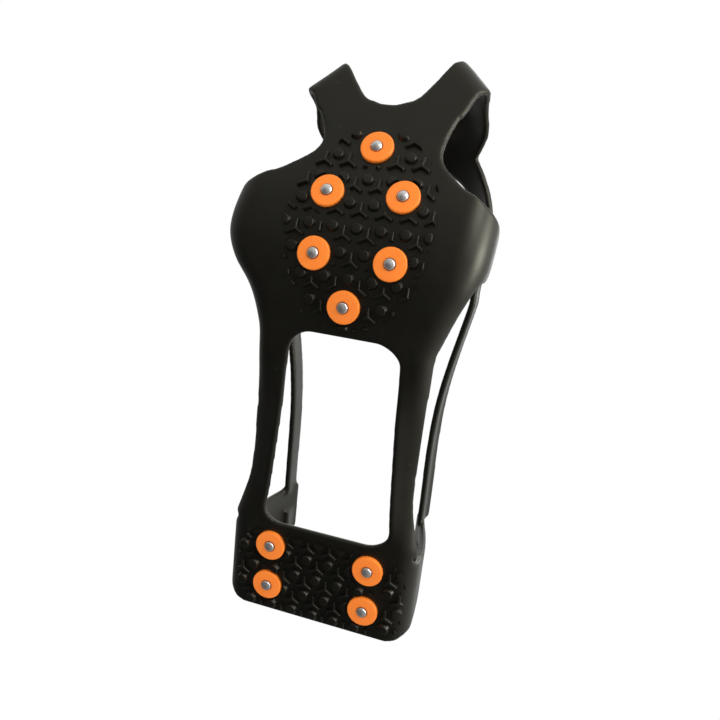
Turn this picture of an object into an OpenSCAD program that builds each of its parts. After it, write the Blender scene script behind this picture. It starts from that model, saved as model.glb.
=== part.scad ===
// Slip-on ice cleat: a stretchy rubber harness with ten studded discs, shown as worn with the toe sprung up.
// Millimetres. +Y points to the toe and +Z is up.
// The harness is laid out on a flat sole first: x across it, s along it from the fourth row of studs, h above
// its underside. place() then bends that layout along the toe spring.

/* [Fit] */
// Width over the wings at the ball
ball_w = 116; // [106:1:126]
// Width over the rails at the waist
waist_w = 78; // [74:1:84]
// Width over the flaps at the heel
heel_w = 91; // [86:1:98]
// Radius of the fold from sole to wall at the ball
ball_fold_r = 13.5; // [10:0.5:15]
// Radius of that fold at the waist
waist_fold_r = 7.5; // [5:0.5:9]
// Radius of that fold at the heel
heel_fold_r = 9; // [6:0.5:10]
// Radius of that fold under the toe arms
toe_fold_r = 7; // [5:0.5:9]
// Radius of the toe spring, at the underside of the sole
spring_r = 98; // [80:1:140]
// Angle that the toe springs up
spring_deg = 30; // [15:1:32]

/* [Rubber] */
// Thickness of the rubber
rubber_t = 3; // [2.4:0.1:4]
// Gap between neighbouring regions of the moulding
region_gap = 0.1; // [0.05:0.05:0.2]
// Gap where a region meets one that flexes against it
flex_gap = 0.3; // [0.3:0.05:0.5]

/* [Sole layout] */
// Front edge of the arch window
window_front_s = -13.2; // [-18:0.2:-12]
// Rear edge of the arch window
window_rear_s = -105.6; // [-108:0.2:-98]
// Width of the arch window at its front end
window_front_w = 46; // [36:1:50]
// Width of the arch window at its rear end
window_rear_w = 59; // [48:1:62]
// Corner radius of the arch window
window_r = 9; // [6:0.5:12]
// Rear edge of the heel plate
heel_end_s = -151.8; // [-156:0.2:-150]
// Deepest point of the notches between toe arms and wings
notch_s = 71.5; // [68:0.5:74]
// Width left between those notches
notch_w = 53; // [48:1:58]
// Deepest point of the notch between the toe arms
toe_notch_s = 90.3; // [88:0.1:92]
// Height to which the rails curl up round the edge of the sole, along the fold
rail_curl = 10.3; // [8:0.1:11]

/* [Toe arms] */
// Tip of a toe arm's flat part, along the sole
arm_tip_s = 110.8; // [107:0.1:113]
// The same tip, across the sole
arm_tip_x = 22.1; // [20:0.1:24]
// Outer corner of a toe arm's flat part, along the sole
arm_root_s = 96.2; // [94.5:0.1:98]
// The same corner, across the sole
arm_root_x = 36; // [35.2:0.1:38]

/* [Wings and flaps] */
// Front edge of a wing on its wall
wing_front_s = 47.5; // [45:0.5:49]
// Rear edge of a wing on its wall
wing_rear_s = 20; // [17:0.5:24]
// Front edge of a heel flap on its wall
flap_front_s = -114; // [-117:0.5:-111]
// Rear edge of a heel flap on its wall
flap_rear_s = -139; // [-143:0.5:-136]

/* [As worn] */
// Sideways pull on the wings towards the right, where it is largest
wing_pull = 3.4; // [0:0.1:4]
// Slope by which the toe end is turned, its right side back
toe_turn = 0.11; // [0:0.01:0.12]

/* [Rim and straps] */
// Width of the rim band
rim_w = 12; // [9:0.5:15]
// Height of the rim's middle at the ball
rim_ball_h = 48; // [42:1:54]
// Height of the rim's middle at the heel flaps
rim_heel_h = 54; // [48:1:60]
// Width between the rims at the ball
rim_ball_w = 102; // [94:1:110]
// Width between the rims at the waist
rim_waist_w = 78; // [70:1:86]
// Width between the rims at the heel flaps
rim_heel_w = 76; // [70:1:82]
// Front edge of the toe strap
toe_front_s = 105; // [102:0.5:108]
// Distance that the heel strap reaches behind the flaps
strap_reach = 36; // [30:1:42]
// Width of the heel strap at the back
strap_back_w = 20; // [15:0.5:24]
// Width of the pull tab
tab_w = 26; // [18:1:32]
// Length of the pull tab above the strap
tab_l = 24; // [16:1:30]
// Height of the grip ribs on the pull tab
grip_h = 0.8; // [0.4:0.1:1.2]

/* [Studs] */
// Diameter of a stud disc
disc_d = 14.5; // [13:0.5:16]
// Thickness of a stud disc
disc_t = 1.8; // [1.4:0.1:2.4]
// Radius of a disc's rounded rim
disc_rim_r = 0.8; // [0.4:0.1:1]
// Diameter of a stud's flat tip
stud_tip_d = 3.4; // [2.6:0.1:3.6]
// Diameter of a stud where it leaves its disc
stud_base_d = 4.9; // [4.4:0.1:5.6]
// Height of a stud above its disc
stud_h = 1.5; // [1.3:0.1:2.4]
// Diameter of a stud's shank
shank_d = 4; // [3.2:0.1:4.2]
// Diameter of a stud's head inside the sole
head_d = 11; // [9:0.5:12]
// Thickness of that head
head_t = 1; // [0.8:0.1:1.4]
// Clearance round a stud's shank and head
stud_fit = 0.05; // [0.02:0.01:0.1]

/* [Stud layout] */
// First row: one stud
row1_s = 69.3; // [67:0.1:70]
// Second row: a pair
row2_s = 47.5; // [46:0.1:49]
// Half the spacing of the second row
row2_x = 16.2; // [14:0.1:18]
// Skew of the second row as worn, its left stud towards the toe
row2_skew = 0.6; // [0:0.1:1]
// Third row: a pair
row3_s = 20.2; // [18:0.1:22]
// Half the spacing of the third row
row3_x = 16.5; // [14:0.1:18]
// Fourth row: one stud, pulled to the right as worn
row4_x = 0.6; // [0:0.1:1]
// Fifth row: a pair under the heel
row5_s = -117.3; // [-119:0.1:-116]
// Sixth row: a pair under the heel
row6_s = -138; // [-140:0.1:-136]
// Half the spacing of the heel rows
heel_row_x = 23.7; // [22:0.1:26]

/* [Tread] */
// Diameter of a peg at its foot
peg_d = 6; // [5:0.1:6.5]
// Diameter of a peg's flat end
peg_end_d = 3.9; // [3.3:0.1:5]
// Height of the tread
tread_h = 1.6; // [0.8:0.1:1.8]
// Spacing of the pegs across the sole
peg_pitch_x = 10.4; // [9.5:0.1:12]
// Spacing of the peg rows under the forefoot
fore_pitch_s = 10.5; // [9.5:0.1:12]
// Spacing of the peg rows under the heel
heel_pitch_s = 9.3; // [8.5:0.1:10.5]
// Middle row of pegs under the forefoot
fore_mid_s = 32.7; // [31:0.1:34]
// Middle row of pegs under the heel
heel_mid_s = -129.3; // [-131:0.1:-128]
// Width of a rib
rib_w = 1.3; // [1:0.1:2]
// Length of each arm of a three-armed rib
rib_l = 3.7; // [3:0.1:4]
// Width kept clear of tread round a stud's disc
disc_clear = 0.2; // [0.1:0.1:2]
// Width of the oval tread patch
oval_w = 62; // [54:1:66]
// Length of the oval tread patch
oval_l = 86; // [80:1:90]
// Middle of the oval tread patch
oval_s = 33.5; // [32:0.5:35]
// Width of the heel tread patch
patch_w = 72; // [66:1:75]
// Length of the heel tread patch
patch_l = 42; // [36:1:43]
// Middle of the heel tread patch
patch_s = -130.3; // [-131:0.1:-129.5]

/* [Hidden] */
SIDES = ["left", "right"];
STUDS = [[0, row1_s], [-row2_x, row2_s + row2_skew], [row2_x, row2_s - row2_skew],
    [-row3_x, row3_s], [row3_x, row3_s], [row4_x, 0],
    [-heel_row_x, row5_s], [heel_row_x, row5_s], [-heel_row_x, row6_s], [heel_row_x, row6_s]];
FORE_STUDS = [for (p = STUDS) if (p[1] > window_front_s) p];
HEEL_STUDS = [for (p = STUDS) if (p[1] < window_rear_s) p];

$fn = 48;
black = [0.06, 0.06, 0.06];
orange = [0.95, 0.45, 0.12];
steel = [0.75, 0.75, 0.77];

// Arc length of the toe spring
spring_l = spring_r * PI / 180 * spring_deg;
// Height of the sole's underside above the stud tips
stand_h = disc_t + stud_h;
// Distance round a quarter of a fold
function quarter(r) = r * PI / 2;
// Share of the way from a to b
function mix(a, b, k) = a + (b - a) * k;
// Number kept between 0 and 1
function unit(k) = min(1, max(0, k));

// Slope of a [place, value] table at its entry i
function slope(table, i) = let (a = table[max(0, i - 1)], b = table[min(len(table) - 1, i + 1)])
    (b[1] - a[1]) / (b[0] - a[0]);

// Value at place p of a smooth curve through a [place, value] table, level beyond its ends
function curve(table, p) = let (
        i = max([0, for (k = [0:len(table) - 2]) if (table[k][0] <= p) k]),
        a = table[i], b = table[i + 1], w = b[0] - a[0], k = unit((p - a[0]) / w))
    mix(a[1], b[1], k * k * (3 - 2 * k))
        + w * k * (1 - k) * (slope(table, i) * (1 - k) - slope(table, i + 1) * k);

// Point a share k along a smooth line through points
function through(points, k) = let (
        n = len(points) - 1, i = min(floor(k * n), n - 1), t = k * n - i,
        a = points[max(0, i - 1)], b = points[i], c = points[i + 1], d = points[min(n, i + 2)])
    b + t / 2 * (c - a + t * (2 * a - 5 * b + 4 * c - d + t * (3 * (b - c) + d - a)));

// Value a share k along a list, straight between its entries
function pick(list, k) = let (n = len(list) - 1, i = min(floor(k * n), n - 1))
    mix(list[i], list[i + 1], k * n - i);

// Tilt of the sole at s
function tilt(s) = s <= 0 ? 0 : min(spring_deg, s / spring_r * 180 / PI);

// Bends a point of the flat layout, [x, s, h], along the toe spring
function bend(p) = let (a = tilt(p[1]), past = max(0, p[1] - spring_l))
    [p[0],
     min(0, p[1]) + (spring_r - p[2]) * sin(a) + past * cos(a),
     p[2] + (spring_r - p[2]) * (1 - cos(a)) + past * sin(a)];

// Half width of the skirt along the sole, and the radius of its fold
width_table = [[window_rear_s, heel_w / 2], [window_rear_s + 20, waist_w / 2 + 1.2], [-60, waist_w / 2],
    [window_front_s - 12, waist_w / 2 + 0.8], [window_front_s, waist_w / 2 + 2.2],
    [3, ball_w / 2 - 10.5], [14, ball_w / 2 - 4], [28, ball_w / 2], [52, ball_w / 2 - 0.8]];
fold_table = [[window_rear_s, heel_fold_r], [-60, waist_fold_r], [window_front_s - 12, waist_fold_r],
    [14, mix(waist_fold_r, ball_fold_r, 0.75)], [28, ball_fold_r], [52, ball_fold_r]];
function half_w(s) = curve(width_table, s);
function fold_r(s) = curve(fold_table, s);
function flat_w(s) = half_w(s) - fold_r(s);

// Height and half width of the rim's middle along the sole
rim_h_table = [[flap_front_s, rim_heel_h], [-40, mix(rim_ball_h, rim_heel_h, 0.4)], [32, rim_ball_h]];
rim_w_table = [[flap_front_s, rim_heel_w / 2], [-50, rim_waist_w / 2], [wing_rear_s, rim_ball_w / 2],
    [wing_front_s, rim_ball_w / 2]];
function rim_h(s) = curve(rim_h_table, s);
function rim_x(s) = curve(rim_w_table, s);

// Point of the outer skin at s, a distance v outward from where the flat sole ends: round the fold, then up
function skin(s, v) = let (r = fold_r(s), q = quarter(r), h = r + v - q, k = (h - r) / (rim_h(s) - r))
    v <= 0 ? [flat_w(s) + v, s, 0]
    : v < q ? [flat_w(s) + r * sin(v / r * 180 / PI), s, r * (1 - cos(v / r * 180 / PI))]
    : [mix(half_w(s), rim_x(s), k * k), s, h];
// Distance v at which the skin reaches height h
function skin_v(s, h) = h - fold_r(s) + quarter(fold_r(s));

// Unit vector from the outer face f of a sheet towards the foot
function inward(f, u, v) = let (
        e = 0.001,
        across = f(min(1, u + e), v) - f(max(0, u - e), v),
        out = f(u, min(1, v + e)) - f(u, max(0, v - e)),
        n = cross(out, across))
    n / norm(n);

// Half width of the forefoot plate: out to the fold beside the wings, then round the side notches
notch_table = [[wing_front_s + 6.2, flat_w(52)], [wing_front_s + 7.8, flat_w(52) - 3],
    [59, notch_w / 2 + 9], [64, notch_w / 2 + 3], [67.2, notch_w / 2 + 0.7], [notch_s, notch_w / 2],
    [77, notch_w / 2 + 1], [82.8, notch_w / 2 + 3.4], [toe_notch_s, notch_w / 2 + 7]];
function plate_x(s) = s < notch_table[0][0] ? flat_w(s) : curve(notch_table, s);

// As worn, the sole of one foot pulls the wings to the right and turns the toe end
pull_table = [[window_front_s, 0], [2, 0.09], [15, 0.74], [28, 1], [wing_front_s, 0.6], [55, 0.15],
    [notch_s, -0.35], [toe_notch_s, -0.06], [arm_tip_s, 0]];
turn_table = [[notch_s, 0], [arm_tip_s, toe_turn]];
// Shares of the plate's half width between which that pull grows
pull_from = 0.6;
pull_to = 0.9;
function worn(p) = let (
        share = abs(p[0]) / plate_x(p[1]),
        pull = wing_pull * curve(pull_table, p[1]) * unit((share - pull_from) / (pull_to - pull_from)))
    [p[0] + pull, p[1] - p[0] * curve(turn_table, p[1]), p[2]];

// Point of the flat layout on the worn cleat. A left piece has hand -1 and mirrors the right one.
function place(p, hand = 1) = bend(worn([hand * p[0], p[1], p[2]]));

// Two triangles for a four-sided face
function halves(a, b, c, d) = [[a, b, c], [a, c, d]];

// Closed sheet of rubber whose outer face is f(u, v) in the flat layout, cut into nu by nv panels
module sheet(f, nu, nv, hand = 1) {
    face = function(u, v) place(f(hand > 0 ? u : 1 - u, v), hand);
    spots = [for (i = [0:nv]) for (j = [0:nu]) [j / nu, i / nv]];
    outer = [for (p = spots) face(p[0], p[1])];
    inner = [for (k = [0:len(spots) - 1]) outer[k] + rubber_t * inward(face, spots[k][0], spots[k][1])];
    n = len(spots);
    w = nu + 1;
    polyhedron(concat(outer, inner), concat(
        [for (i = [0:nv - 1], j = [0:nu - 1]) let (k = i * w + j) each halves(k, k + w, k + w + 1, k + 1)],
        [for (i = [0:nv - 1], j = [0:nu - 1]) let (k = n + i * w + j) each halves(k, k + 1, k + w + 1, k + w)],
        [for (j = [0:nu - 1]) each halves(j, j + 1, n + j + 1, n + j)],
        [for (j = [0:nu - 1]) let (k = nv * w + j) each halves(k + 1, k, n + k, n + k + 1)],
        [for (i = [0:nv - 1]) let (k = i * w) each halves(k + w, k, n + k, n + k + w)],
        [for (i = [0:nv - 1]) let (k = i * w + nu) each halves(k, k + w, n + k + w, n + k)]));
}

// Puts its children on the sole's underside at x, s, square to it
module at_sole(x, s) {
    translate(place([x, s, 0]))
        rotate([tilt(s), 0, 0])
            children();
}

// Stepped hole for a stud: its shank, and its head let into the inner face
module stud_hole() {
    translate([0, 0, -rubber_t])
        cylinder(h = 3 * rubber_t, d = shank_d + 2 * stud_fit);
    translate([0, 0, rubber_t - head_t - stud_fit])
        cylinder(h = 2 * head_t, d = head_d + 2 * stud_fit);
}

module forefoot_plate() {
    color(black)
        difference() {
            sheet(function(u, v) let (s = mix(window_front_s, toe_notch_s, u))
                [mix(-plate_x(s), plate_x(s), v), s, 0], 48, 4);
            for (p = FORE_STUDS)
                at_sole(p[0], p[1])
                    stud_hole();
        }
}

module heel_plate() {
    flat = flat_w(window_rear_s) - region_gap;
    color(black)
        difference() {
            translate([-flat, heel_end_s, 0])
                cube([2 * flat, window_rear_s - heel_end_s, rubber_t]);
            for (p = HEEL_STUDS)
                at_sole(p[0], p[1])
                    stud_hole();
        }
}

// Half width of the arch window, with round corners
function window_x(s) = let (
        d = min(window_front_s - s, s - window_rear_s),
        k = (window_front_s - s) / (window_front_s - window_rear_s),
        corner = d < window_r ? window_r - sqrt(max(0, window_r ^ 2 - (window_r - d) ^ 2)) : 0)
    mix(window_front_w, window_rear_w, k) / 2 - corner;

// Arch rail, closer set at its ends where the window's corners turn
module side_rail(hand) {
    rear = window_rear_s + flex_gap;
    front = window_front_s - region_gap;
    color(black)
        sheet(function(u, v) let (s = mix(rear, front, (1 - cos(180 * u)) / 2), flat = flat_w(s))
            v < 0.5 ? [mix(window_x(s), flat, 2 * v), s, 0] : skin(s, rail_curl * (2 * v - 1)), 24, 8, hand);
}

// Edges of a wing by distance v up the skin. Its rear edge sweeps out of the rail's curl.
sweep = wing_rear_s - window_front_s;
wing_rear_table = [for (e = [[0, 0], [1.2, 0], [2.1, 0.12], [2.9, 0.4], [3.6, 0.72], [5.2, 0.85], [8.7, 0.93],
    [17, 0.99], [30, 1], [60, 0.97]]) [rail_curl + e[0], window_front_s + region_gap + e[1] * sweep]];
wing_levels = concat([2 * region_gap, 3, 6], [for (e = wing_rear_table) e[0]]);
function wing_front(v) = wing_front_s + 7 * (1 - unit(v / 25)) ^ 2;

module wing(hand) {
    top = skin_v(wing_rear_s, rim_ball_h + rim_w / 2);
    levels = concat([for (v = wing_levels) if (v < top - 4) v], [top]);
    color(black)
        sheet(function(u, w) let (v = pick(levels, w), rear = v < rail_curl ? window_front_s + region_gap
                : curve(wing_rear_table, v))
            skin(mix(rear, wing_front(v), u), v), 14, len(levels) - 1, hand);
}

// Edges of a heel flap by distance v up the skin
flap_front_table = [[0, window_rear_s - region_gap], [5, window_rear_s - 1], [11, flap_front_s + 3],
    [18, flap_front_s + 0.8], [30, flap_front_s], [60, flap_front_s + 0.5]];
flap_rear_table = [[0, heel_end_s + 0.3], [4, heel_end_s + 1.4], [8, heel_end_s + 3.6], [14, heel_end_s + 5.5],
    [30, flap_rear_s - 2], [50, flap_rear_s], [60, flap_rear_s]];

module heel_flap(hand) {
    top = skin_v(flap_front_s, rim_heel_h + rim_w / 2);
    levels = concat([region_gap, 2.5, 5, 7.5, 10, 13, 17, 22, 30, 39, 48, 57], [top]);
    color(black)
        sheet(function(u, w) let (v = pick(levels, w))
            skin(mix(curve(flap_rear_table, v), curve(flap_front_table, v), u), v), 8, len(levels) - 1, hand);
}

// Rim band between the wing and the heel flap
module side_rim(hand) {
    rear = flap_front_s + flex_gap + 0.5;
    front = curve(wing_rear_table, rim_ball_h + rim_w) - 6 * flex_gap;
    color(black)
        sheet(function(u, v) let (s = mix(rear, front, u), h = rim_h(s) + (v - 0.5) * rim_w)
            [rim_x(s), s, h], 16, 1, hand);
}

// Edge of the rim round the toe, from the wing to the middle of the toe strap: share of its half width, share
// of its way to the toe, and height over the rim's middle
rim_front = wing_front_s + 11 * region_gap;
function toe_edge(table) = [for (e = table)
    [rim_ball_w / 2 * e[0], mix(rim_front, toe_front_s, e[1]), rim_ball_h + e[2]]];
toe_low = toe_edge([[1, 0, -rim_w / 2], [1, 0.06, -rim_w / 2 - 0.4], [0.96, 0.25, -9], [0.86, 0.5, -11],
    [0.715, 0.73, -12], [0.52, 0.9, -9.5], [0.265, 0.975, -3.5], [0, 1, -1.5]]);
toe_high = toe_edge([[0.98, 0, rim_w / 2], [0.98, 0.06, rim_w / 2 - 0.4], [0.91, 0.225, 3], [0.775, 0.445, 0.5],
    [0.61, 0.62, -0.5], [0.41, 0.74, 1.5], [0.205, 0.79, 5], [0, 0.8, 7]]);
// Share of that rim that runs from the wing to the toe arm
toe_split = 5 / 7;
// The same edges carried on to the other side
function both_ways(points) = concat(points,
    [for (i = [len(points) - 2:-1:0]) let (p = points[i]) [-p[0], p[1], p[2]]]);

module front_rim(hand) {
    color(black)
        sheet(function(u, v) let (k = u * toe_split)
            mix(through(toe_low, k), through(toe_high, k), v), 18, 1, hand);
}

module toe_strap() {
    low = both_ways(toe_low);
    high = both_ways(toe_high);
    first = toe_split / 2 + 0.001;
    color(black)
        sheet(function(u, v) let (k = mix(first, 1 - first, u))
            mix(through(low, k), through(high, k), v), 20, 1);
}

// Edge of a toe arm: its flat part, the fold at the end of that, and a point on the wall above
toe_out = [cos(45), sin(45), 0];
function arm_edge(flat, wall) = let (p = flat[len(flat) - 1])
    concat(flat, [for (a = [30:30:90]) p + toe_fold_r * (sin(a) * toe_out + [0, 0, 1 - cos(a)])], [p + wall]);
arm_outer = arm_edge([[notch_w / 2 + 7, toe_notch_s + region_gap, 0],
    [notch_w / 2 + 7.7, mix(toe_notch_s, arm_root_s, 0.28), 0],
    [notch_w / 2 + 8.4, mix(toe_notch_s, arm_root_s, 0.6), 0],
    [arm_root_x, arm_root_s, 0]], [4, 4, 16]);
arm_inner = arm_edge([[2, toe_notch_s + region_gap, 0],
    [10.6, mix(toe_notch_s, arm_tip_s, 0.19), 0],
    [16.4, mix(toe_notch_s, arm_tip_s, 0.555), 0],
    [arm_tip_x, arm_tip_s, 0]], [4, 3.8, 16]);
// Stretch of the rim's edges, by share, that an arm's top meets, the gap left there, and the length over which
// the arm is in line with the rim
arm_rim = [4 / 7, 0.82];
arm_gap = 0.2;
arm_lead = 11;
// Lengthwise line of an arm's outer face, a share u of the way from its outer to its inner edge
function arm_line(u) = let (
        at = mix(arm_rim[0], arm_rim[1], u),
        low = through(toe_low, at),
        up = through(toe_high, at) - low)
    concat([for (k = [0:len(arm_outer) - 1]) mix(arm_outer[k], arm_inner[k], u)],
        [for (d = [arm_lead, arm_gap]) low - up / norm(up) * d]);
function toe_arm_face(u, v) = through(arm_line(u), v);

module toe_arm(hand) {
    color(black)
        sheet(function(u, v) toe_arm_face(u, v), 6, 27, hand);
}

// Lower and upper edge of the heel strap, from a flap round the back of the heel
strap_s = flap_rear_s - flex_gap;
strap_x = rim_heel_w / 2;
strap_low = [for (e = [[1, 0, 0], [0.97, 0.26, 0.1], [0.85, 0.6, 0.3], [0.55, 0.88, 0.65], [0, 1, 1]])
    [strap_x * e[0], strap_s - strap_reach * e[1], rim_heel_h - rim_w / 2 + 4 * e[2]]];
strap_high = [for (p = strap_low) let (k = (strap_s - p[1]) / strap_reach)
    [p[0], p[1], p[2] + mix(rim_w, strap_back_w, k)]];
// Share of the strap, from a flap, that bends when the strap is pulled
strap_bend = 0.14;

// Length of the heel strap from share a to share b, counted from the left flap
module strap_part(a, b, panels, hand = 1) {
    low = [for (p = both_ways(strap_low)) [-p[0], p[1], p[2]]];
    high = [for (p = both_ways(strap_high)) [-p[0], p[1], p[2]]];
    color(black)
        sheet(function(u, v) let (k = mix(a, b, u)) mix(through(low, k), through(high, k), v), panels, 1, hand);
}

module strap_side(hand) {
    strap_part(1 - strap_bend, 1, 4, hand);
}

module heel_strap() {
    strap_part(strap_bend + 0.002, 1 - strap_bend - 0.002, 24);
}

// Pull tab standing on the heel strap, with grip ribs on its outer face
tab_corner = 6;
tab_ribs = 4;
module pull_tab() {
    root = strap_high[len(strap_high) - 1];
    color(black)
        translate([0, root[1], root[2] + region_gap]) {
            rotate([90, 0, 0])
                translate([0, 0, -rubber_t])
                    linear_extrude(rubber_t) {
                        translate([-tab_w / 2, 0])
                            square([tab_w, tab_l - tab_corner]);
                        translate([-tab_w / 2 + tab_corner, 0])
                            square([tab_w - 2 * tab_corner, tab_l]);
                        for (side = [-1, 1])
                            translate([side * (tab_w / 2 - tab_corner), tab_l - tab_corner])
                                circle(r = tab_corner);
                    }
            for (i = [1:tab_ribs])
                translate([-tab_w / 2 + 3, -grip_h, tab_l * i / (tab_ribs + 1.5)])
                    cube([tab_w - 6, 2 * grip_h, 1.6]);
        }
}

// True where a spot of the tread keeps clear of every stud in the list
function clear_of(studs, x, s, r) = min([for (p = studs) norm(p - [x, s])]) > disc_d / 2 + disc_clear + r;
function in_oval(x, s, r) = (x / (oval_w / 2 - r)) ^ 2 + ((s - oval_s) / (oval_l / 2 - r)) ^ 2 < 1;
function in_patch(x, s, r) = abs(x) + r < patch_w / 2 && abs(s - patch_s) + r < patch_l / 2;

// Three-armed rib: one arm to the toe, two to the heel
module rib() {
    for (a = [90, 210, 330])
        rotate(a)
            translate([0, -rib_w / 2, -tread_h])
                cube([rib_l, rib_w, tread_h]);
}

// Staggered pegs with ribs between them, wherever keep(x, s, r) allows a spot of radius r
module tread(mid_s, pitch_s, keep) {
    rows = ceil(oval_l / pitch_s / 2);
    for (i = [-rows:rows], j = [-rows:rows]) {
        x = (j + (i % 2 == 0 ? 0 : 0.5)) * peg_pitch_x;
        s = mid_s + i * pitch_s;
        rib_s = s + pitch_s * 2 / 3;
        if (keep(x, s, peg_d / 2))
            at_sole(x, s)
                translate([0, 0, -tread_h])
                    cylinder(h = tread_h, d1 = peg_end_d, d2 = peg_d);
        if (keep(x, rib_s, rib_l))
            at_sole(x, rib_s)
                rib();
    }
}

module forefoot_tread() {
    color(black)
        tread(fore_mid_s, fore_pitch_s,
            function(x, s, r) in_oval(x, s, r) && clear_of(FORE_STUDS, x, s, r));
}

module heel_tread() {
    color(black)
        tread(heel_mid_s, heel_pitch_s,
            function(x, s, r) in_patch(x, s, r) && clear_of(HEEL_STUDS, x, s, r));
}

// Disc with a rounded rim and a hole for the stud's shank
module stud_disc(i) {
    r = disc_d / 2;
    color(orange)
        at_sole(STUDS[i - 1][0], STUDS[i - 1][1])
            rotate_extrude()
                difference() {
                    union() {
                        translate([0, -disc_t])
                            square([r - disc_rim_r, disc_t]);
                        translate([0, disc_rim_r - disc_t])
                            square([r, disc_t - disc_rim_r]);
                        translate([r - disc_rim_r, disc_rim_r - disc_t])
                            circle(r = disc_rim_r);
                    }
                    translate([0, -2 * disc_t])
                        square([shank_d / 2 + stud_fit, 4 * disc_t]);
                }
}

// Steel stud: a blunt tip below the disc, a shank through disc and sole, and a flat head inside
module stud(i) {
    color(steel)
        at_sole(STUDS[i - 1][0], STUDS[i - 1][1]) {
            translate([0, 0, -disc_t - stud_h])
                cylinder(h = stud_h, d1 = stud_tip_d, d2 = stud_base_d);
            translate([0, 0, -disc_t])
                cylinder(h = disc_t + rubber_t - head_t / 2, d = shank_d);
            translate([0, 0, rubber_t - head_t])
                cylinder(h = head_t, d = head_d);
        }
}

// Stands the cleat on its stud tips, with its box centred on the origin
HANDS = [-1, 1];
front_y = max([for (hand = HANDS, i = [0:54], j = [0:6]) place(toe_arm_face(j / 6, i / 54), hand)[1]]);
back_y = strap_s - strap_reach - grip_h;
function side_x(hand) = max([for (s = [0:wing_front_s]) abs(place([half_w(s), s, 0], hand)[0])]);
module seated() {
    translate([(side_x(-1) - side_x(1)) / 2, -(front_y + back_y) / 2, stand_h])
        children();
}

module shown(name) {
    seated()
            children();
}

shown("forefoot_plate") forefoot_plate();
shown("forefoot_tread") forefoot_tread();
shown("toe_strap") toe_strap();
shown("heel_plate") heel_plate();
shown("heel_tread") heel_tread();
shown("heel_strap") heel_strap();
shown("pull_tab") pull_tab();
for (side = SIDES) {
    hand = side == "left" ? -1 : 1;
    shown(str("toe_arm_", side)) toe_arm(hand);
    shown(str("front_rim_", side)) front_rim(hand);
    shown(str("wing_", side)) wing(hand);
    shown(str("side_rail_", side)) side_rail(hand);
    shown(str("side_rim_", side)) side_rim(hand);
    shown(str("heel_flap_", side)) heel_flap(hand);
    shown(str("strap_side_", side)) strap_side(hand);
}
for (i = [1:len(STUDS)]) {
    shown(str("stud_disc_", i)) stud_disc(i);
    shown(str("stud_", i)) stud(i);
}
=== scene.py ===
import math

import bpy
import numpy as np
from mathutils import Matrix, Vector


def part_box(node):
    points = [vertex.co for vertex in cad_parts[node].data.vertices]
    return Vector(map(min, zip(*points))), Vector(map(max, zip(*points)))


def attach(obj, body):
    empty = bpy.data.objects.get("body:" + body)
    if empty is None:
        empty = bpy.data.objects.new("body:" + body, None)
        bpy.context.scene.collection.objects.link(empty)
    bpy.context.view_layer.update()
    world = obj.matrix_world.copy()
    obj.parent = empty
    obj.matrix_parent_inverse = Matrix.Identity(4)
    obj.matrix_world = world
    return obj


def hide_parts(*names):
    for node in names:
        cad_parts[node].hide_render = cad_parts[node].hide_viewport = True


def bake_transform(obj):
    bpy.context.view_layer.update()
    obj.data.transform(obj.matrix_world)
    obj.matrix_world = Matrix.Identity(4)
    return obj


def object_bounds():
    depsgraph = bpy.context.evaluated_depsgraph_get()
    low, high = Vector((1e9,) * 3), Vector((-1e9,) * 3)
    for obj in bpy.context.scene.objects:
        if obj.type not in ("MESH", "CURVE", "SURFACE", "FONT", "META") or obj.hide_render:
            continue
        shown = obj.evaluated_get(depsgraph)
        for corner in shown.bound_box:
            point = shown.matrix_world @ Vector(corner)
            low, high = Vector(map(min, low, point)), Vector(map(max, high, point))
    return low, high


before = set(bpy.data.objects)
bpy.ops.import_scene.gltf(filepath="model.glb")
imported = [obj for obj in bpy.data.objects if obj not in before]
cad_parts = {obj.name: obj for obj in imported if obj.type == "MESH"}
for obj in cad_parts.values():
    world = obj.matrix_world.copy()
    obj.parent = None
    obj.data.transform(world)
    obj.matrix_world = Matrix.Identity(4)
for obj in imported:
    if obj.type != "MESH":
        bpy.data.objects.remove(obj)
cadLow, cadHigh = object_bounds()
print("frame loaded with", len(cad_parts), "CAD nodes")

mm = 0.001


# Layout: x across the sole, s along it from the fourth row of studs, h above the underside, all in mm

sole = {
    "ballWidth": 116,
    "waistWidth": 78,
    "heelWidth": 91,
    "ballFold": 13.5,
    "waistFold": 7.5,
    "heelFold": 9,
    "springRadius": 98,
    "springAngle": math.radians(30),
    "windowFront": -13.2,
    "windowRear": -105.6,
    "windowFrontWidth": 46,
    "windowRearWidth": 59,
    "windowCorner": 9,
    "windowPull": 2.2,  # as worn, the window is pulled wider on its left
    "heelEnd": -151.8,
    "notch": 71.5,
    "notchWidth": 53,
    "toeNotch": 90.3,
    "toeFront": 105,
    "railCurl": 10.3,
    "wingFront": 47.5,
    "wingRear": 20,
    "flapFront": -114,
    "flapRear": -139,
    "rubber": 3,
    "wingPull": 3.4,  # as worn, the sole of one foot pulls the wings to the right
    "pullFrom": 0.6,  # in shares of the plate's half width
    "pullSpan": 0.3,
    "toeTurn": 0.11,  # as worn, the toe end is turned, its right side back
}
rim = {
    "width": 12, "ballHeight": 48, "heelHeight": 54, "ballWidth": 102, "waistWidth": 78, "heelWidth": 76,
    "wallReach": 1.2,  # the wall's lean goes on past the rim's middle
    "toeStart": 1.1,
}

heelLow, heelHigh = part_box("heel_plate")
shiftX = (heelLow.x + heelHigh.x) / 2 / mm
shiftY = heelLow.y / mm - sole["heelEnd"]
shiftZ = heelLow.z / mm


def mix(a, b, k):
    return a + (b - a) * k


def column(k):
    return np.asarray(k, float)[..., None]


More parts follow.
